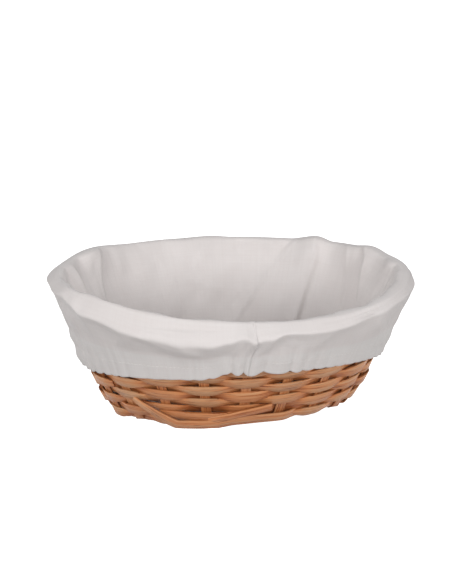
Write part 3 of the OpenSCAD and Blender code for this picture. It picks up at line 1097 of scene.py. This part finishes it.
# The seam: the last end lies over the first one, outside it on the cuff and inside it elsewhere
last_end = smooth(panel_angle, panel_angle[-1] - 2.4 * OVERLAP, panel_angle[-1] - OVERLAP)
face = np.where(row_of > crest_at, smooth(row_of, crest_at + 6, crest_at + 14), -1)
outs = outs + 1.1 * CLOTH * last_end * np.where(row_of > hem_at, -1, face)

# Room for the rim bands and their lashing
over_rim = (row_of > crest_at - 4) & (row_of <= beside_at) & (np.abs(outs) < 5.6 * MM)
room = WOOD_TOP - np.maximum(0, np.abs(outs) - 4.4 * MM) * 1.2
heights = np.where(over_rim, np.maximum(heights, room), heights)
beside_rim = (row_of > beside_at) & (row_of < hem_at) & (heights > band_middle - 8 * MM)
outs = np.where(beside_rim, np.maximum(outs, 5.6 * MM), outs)
dragged = panel_angle - smooth(row_of, ridge_at, hem_at - 2) * seam_bend(panel_angle)
panel_places = on_wall(dragged, heights, outs)
print(f"panel folded, {1e3 * panel_places[..., 2].max():.0f} mm high")


# %% A sheet from a grid of places
def sheet_mesh(name, places, layers, thickness, material, closed=False):
    """A cloth sheet through a grid of places, with its own along and up distances."""
    rows, columns = places.shape[:2]
    number = np.arange(rows * columns).reshape(rows, columns)
    if closed:
        number = np.concatenate([number, number[:, :1]], 1)
    faces = np.stack([number[:-1, :-1], number[:-1, 1:], number[1:, 1:], number[1:, :-1]], -1)
    mesh = bpy.data.meshes.new(name)
    mesh.from_pydata(places.reshape(-1, 3).tolist(), [], faces.reshape(-1, 4).tolist())
    along = np.linalg.norm(np.diff(places, axis=1), axis=-1).mean(0)
    up = np.linalg.norm(np.diff(places, axis=0), axis=-1).mean(1)
    cloth = np.zeros((rows, columns, 3))
    cloth[..., 0] = np.append(0, np.cumsum(along))[None]
    cloth[..., 1] = np.append(0, np.cumsum(up))[:, None]
    cloth[..., 2] = layers
    add_attribute(mesh, "cloth", cloth.reshape(-1, 3))
    mesh.polygons.foreach_set("use_smooth", [True] * len(mesh.polygons))
    mesh.materials.append(material)
    piece = bpy.data.objects.new(name, mesh)
    scene.collection.objects.link(piece)
    solid = piece.modifiers.new("cloth", "SOLIDIFY")
    solid.thickness, solid.offset = thickness, 0
    return piece


layers = np.where(row_of >= above_hem - 7, 1.0, 0.0) * np.ones(AROUND)
panel = sheet_mesh("liner_panel", panel_places, layers, CLOTH, cotton)
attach(panel, "liner")
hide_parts("liner_wall", "liner_cuff")
print("panel:", len(panel.data.polygons), "faces")

# %% [markdown]
# ## Stitches
# The hem is closed by one row of running stitches and the floor is sewn in with another. Each
# stitch is a small spindle of thread, laid along its seam by Geometry Nodes.


# %% The stitch tree
def stitch_tree():
    """Geometry Nodes that lay a stitch at each point, along the attribute that gives the seam."""
    tree = bpy.data.node_groups.new("stitches", "GeometryNodeTree")
    face = tree.interface
    face.new_socket("Geometry", in_out="INPUT", socket_type="NodeSocketGeometry")
    face.new_socket("Stitch", in_out="INPUT", socket_type="NodeSocketFloat")
    face.new_socket("Thread", in_out="INPUT", socket_type="NodeSocketFloat")
    face.new_socket("Material", in_out="INPUT", socket_type="NodeSocketMaterial")
    face.new_socket("Geometry", in_out="OUTPUT", socket_type="NodeSocketGeometry")
    board = Board(tree)
    entry = tree.nodes.new("NodeGroupInput")
    geometry, stitch, size, material = [Socket(board, entry.outputs[k]) for k in range(4)]
    seam = board.node("GeometryNodeInputNamedAttribute", {"data_type": "FLOAT_VECTOR"}, {
        "Name": "seam"})
    turn = board.node("FunctionNodeAlignRotationToVector", {"axis": "X"}, {"Vector": seam})
    spindle = board.node("GeometryNodeMeshIcoSphere", {}, {"Radius": 1.0, "Subdivisions": 2})
    laid = board.node("GeometryNodeInstanceOnPoints", {}, {
        "Points": geometry, "Instance": spindle, "Rotation": turn,
        "Scale": board.join(stitch * 0.5, size * 0.5, size * 0.5)})
    body = board.node("GeometryNodeRealizeInstances", {}, {0: laid})
    body = board.node("GeometryNodeSetShadeSmooth", {}, {"Geometry": body})
    body = board.node("GeometryNodeSetMaterial", {}, {0: body, "Material": material})
    result = tree.nodes.new("NodeGroupOutput")
    tree.links.new(body.socket, result.inputs[0])
    return tree


STITCH_TREE = stitch_tree()
STITCH_PITCH = 3.4 * MM
THREAD = 0.28 * MM


def sewn(name, line, pitch):
    """Stitches along a line of places."""
    lengths = np.append(0, np.cumsum(np.linalg.norm(np.diff(line, axis=0), axis=1)))
    at = np.arange(pitch / 2, lengths[-1], pitch)
    places = np.stack([np.interp(at, lengths, line[:, k]) for k in range(3)], -1)
    route = np.gradient(line, lengths, axis=0)
    seam = np.stack([np.interp(at, lengths, route[:, k]) for k in range(3)], -1)
    mesh = bpy.data.meshes.new(name + "_points")
    mesh.from_pydata(places.tolist(), [], [])
    add_attribute(mesh, "seam", unit(seam))
    piece = grown(name, mesh, STITCH_TREE, {
        "Stitch": 0.72 * pitch, "Thread": THREAD, "Material": thread})
    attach(piece, "liner")
    print(name, len(at), "stitches")
    return piece


def outer_row(row):
    """A row of the panel, on the cloth's outer face."""
    aside = wall_axes(panel_angle, heights[row])[2]
    return panel_places[row] + CLOTH / 2 * aside


hem_stitches = sewn("hem_stitches", outer_row(cuff_middle + 5), STITCH_PITCH)

# %% [markdown]
# ## The liner's floor and elastic
# An oval of the same cotton covers the base, sewn to the panel's lower edge. It is a little larger
# than the base, so it lies in soft low waves. The elastic is a flat woven band inside the hem.

# %% Floor cloth
RINGS, SPOKES = 48, 240
FROM_WALL = 4.1 * MM
SEAM_ALLOWANCE = 5 * MM
ring = (np.linspace(0.0002, 1, RINGS) ** 0.8)[:, None]
spoke = np.arange(SPOKES) * full_turn / SPOKES
floor_edge = on_wall(spoke, level(spoke, FLOOR + 1.4 * MM), -FROM_WALL)
x, y = ring * floor_edge[:, 0], ring * floor_edge[:, 1]
# Soft waves all over, and two low creases where the cloth was folded
waves = 0.5 + 0.5 * np.sin(x / 0.019 + 1.3 * np.sin(y / 0.021)) * np.sin(y / 0.016 + 0.8)
waves = waves + 0.7 / (1 + ((x - 0.4 * y + 0.02) / 0.004) ** 2)
waves = waves + 0.7 / (1 + ((y + 0.3 * x) / 0.005) ** 2)
z = FLOOR + 1.3 * MM + MM * waves * (1 - ring ** 6) + 1.6 * MM * smooth(ring, 0.95, 1.0)
floor_places = np.stack([x, y, z], -1)[::-1]
floor_cloth = sheet_mesh("liner_floor_cloth", floor_places, 0.0, CLOTH, cotton, closed=True)
edge_x, edge_y = floor_edge[:, 0].max(), floor_edge[:, 1].max()
print(f"floor cloth {2e3 * edge_x:.0f} x {2e3 * edge_y:.0f} mm")
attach(floor_cloth, "liner")
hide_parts("liner_floor")
# The seam runs a little inside the edge, just above the cloth
inside = 0.94
seam_height = np.interp(inside, ring[:, 0], z.mean(1)) + 0.5 * MM
floor_seam = np.stack([inside * floor_edge[:, 0], inside * floor_edge[:, 1],
                       seam_height + 0 * spoke], -1)
floor_seam = np.concatenate([floor_seam, floor_seam[:1]])
floor_stitches = sewn("floor_stitches", floor_seam, STITCH_PITCH)
cut_x, cut_y = edge_x + SEAM_ALLOWANCE, edge_y + SEAM_ALLOWANCE
2 * cut_x
2 * cut_y
math.pi * cut_x * cut_y

# %% Elastic
ELASTIC_HALF = 3 * MM
ELASTIC_THICK = 0.6 * MM
ABOVE_HEM = 5 * MM
ELASTIC_OUT = 4.4 * MM
band_angle = SEAM + np.linspace(0.004, full_turn - 0.004, 460)
strength = gather_strength(band_angle)
band_height = hem_line(band_angle) + ABOVE_HEM - strength * GATHER_LIFT * (lobes(band_angle) - 0.5)
band_out = ELASTIC_OUT + strength * GATHER * lobes(band_angle)
elastic_piece = strip(
    "hem_elastic_band", on_wall(band_angle - seam_bend(band_angle), band_height, band_out),
    wall_axes(band_angle, band_height)[1], ELASTIC_HALF, ELASTIC_THICK / 2, elastic,
    tone=5, shade=0.5, edge=0.12 * MM)
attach(elastic_piece, "liner")
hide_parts("hem_elastic")
print("liner: panel, floor and elastic")
